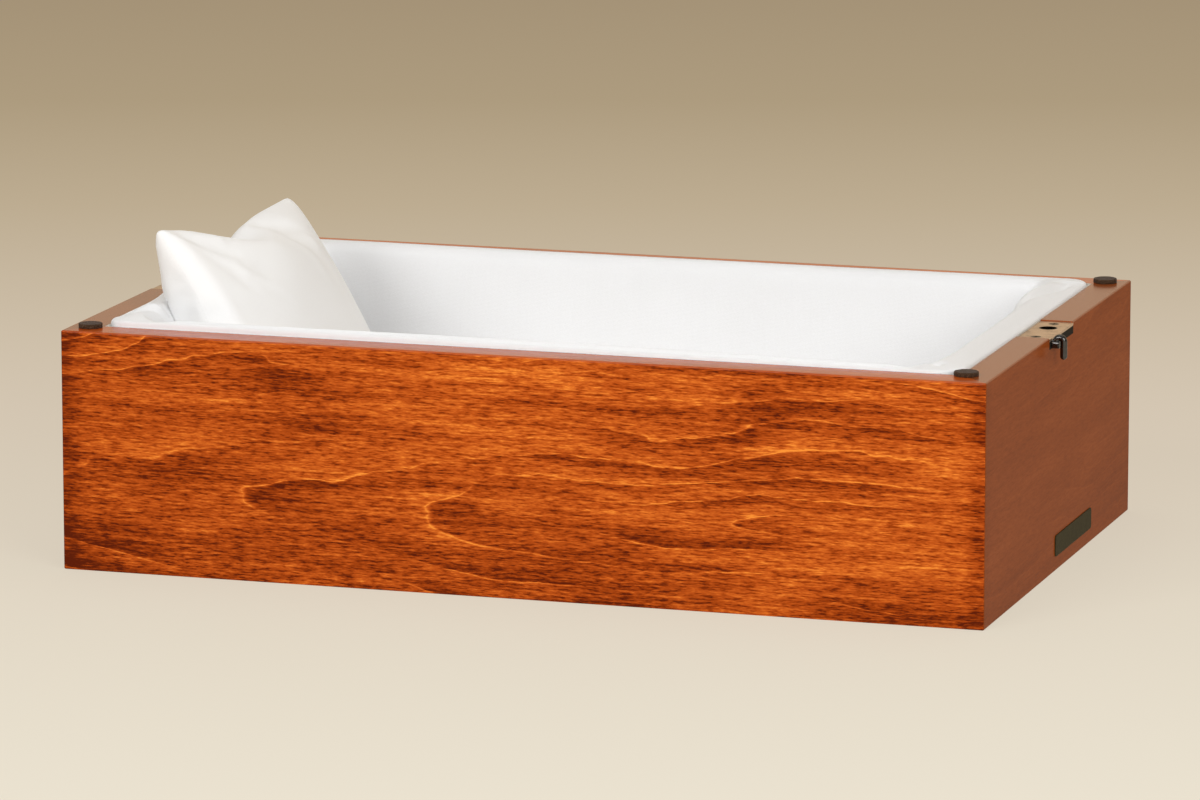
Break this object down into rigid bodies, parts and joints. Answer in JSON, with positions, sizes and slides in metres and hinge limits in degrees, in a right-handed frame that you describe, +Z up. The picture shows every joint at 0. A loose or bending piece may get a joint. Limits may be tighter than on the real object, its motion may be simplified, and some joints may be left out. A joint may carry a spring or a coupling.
{
  "type": "cloth-lined wooden casket base",
  "caption": "Open rectangular wooden casket base with a white padded cloth lining, a small loose pillow, felt rim bumpers and a sliding lid catch in the rim at each end.",
  "frame": {"origin": "middle of the footprint, on the surface that the case stands on", "axes": "+X along the long side towards the end with the name strip, +Y from the front to the back, +Z up"},
  "size_m": [0.5494, 0.336, 0.1837],
  "materials": {
    "lacquered_wood": "satin lacquer over reddish figured hardwood",
    "plywood": "bare plywood",
    "spline_wood": "bare hardwood",
    "liner_card": "plain card",
    "lining_cloth": "white soft plain-woven cloth over padding",
    "bed_cloth": "white soft plain-woven cloth over padding",
    "pillow_cloth": "white soft plain-woven cloth",
    "felt": "dark brown felt",
    "name_strip": "plain dark satin",
    "staple_wire": "bright wire",
    "aged_bronze": "aged antique bronze",
    "dark_bronze": "dark antique bronze",
    "black_nickel": "polished black nickel",
    "bronze_screw": "antique bronze plated"
  },
  "bodies": {
    "base": {"back_board": "lacquered_wood", "back_liner_card": "liner_card", "back_liner_pad": "lining_cloth", "bed_pad": "bed_cloth", "blank_name_strip": "name_strip", "bottom_board": "plywood", "bumper_back_left": "felt", "bumper_back_right": "felt", "bumper_front_left": "felt", "bumper_front_right": "felt", "corner_spline_back_left": "spline_wood", "corner_spline_back_right": "spline_wood", "corner_spline_front_left": "spline_wood", "corner_spline_front_right": "spline_wood", "front_board": "lacquered_wood", "front_liner_card": "liner_card", "front_liner_pad": "lining_cloth", "left_catch_plate": "aged_bronze", "left_catch_screws": "bronze_screw", "left_catch_tray": "dark_bronze", "left_end_board": "lacquered_wood", "left_end_liner_card": "liner_card", "left_liner_pad": "lining_cloth", "liner_staples": "staple_wire", "right_catch_plate": "aged_bronze", "right_catch_screws": "bronze_screw", "right_catch_tray": "dark_bronze", "right_end_board": "lacquered_wood", "right_end_liner_card": "liner_card", "right_liner_pad": "lining_cloth"},
    "pillow": {"pillow": "pillow_cloth"},
    "left_bolt": {"left_catch_bolt": "dark_bronze", "left_catch_finger": "black_nickel"},
    "right_bolt": {"right_catch_bolt": "dark_bronze", "right_catch_finger": "black_nickel"}
  },
  "joints": [
    {"name": "left_catch_slide", "type": "slide", "parent": "base", "child": "left_bolt", "axis": [0, -1, 0], "range_m": [0, 0.009]},
    {"name": "right_catch_slide", "type": "slide", "parent": "base", "child": "right_bolt", "axis": [0, 1, 0], "range_m": [0, 0.009]},
    {"name": "pillow_lift", "type": "slide", "parent": "base", "child": "pillow", "axis": [0, 0, 1], "range_m": [0, 0.2]}
  ]
}
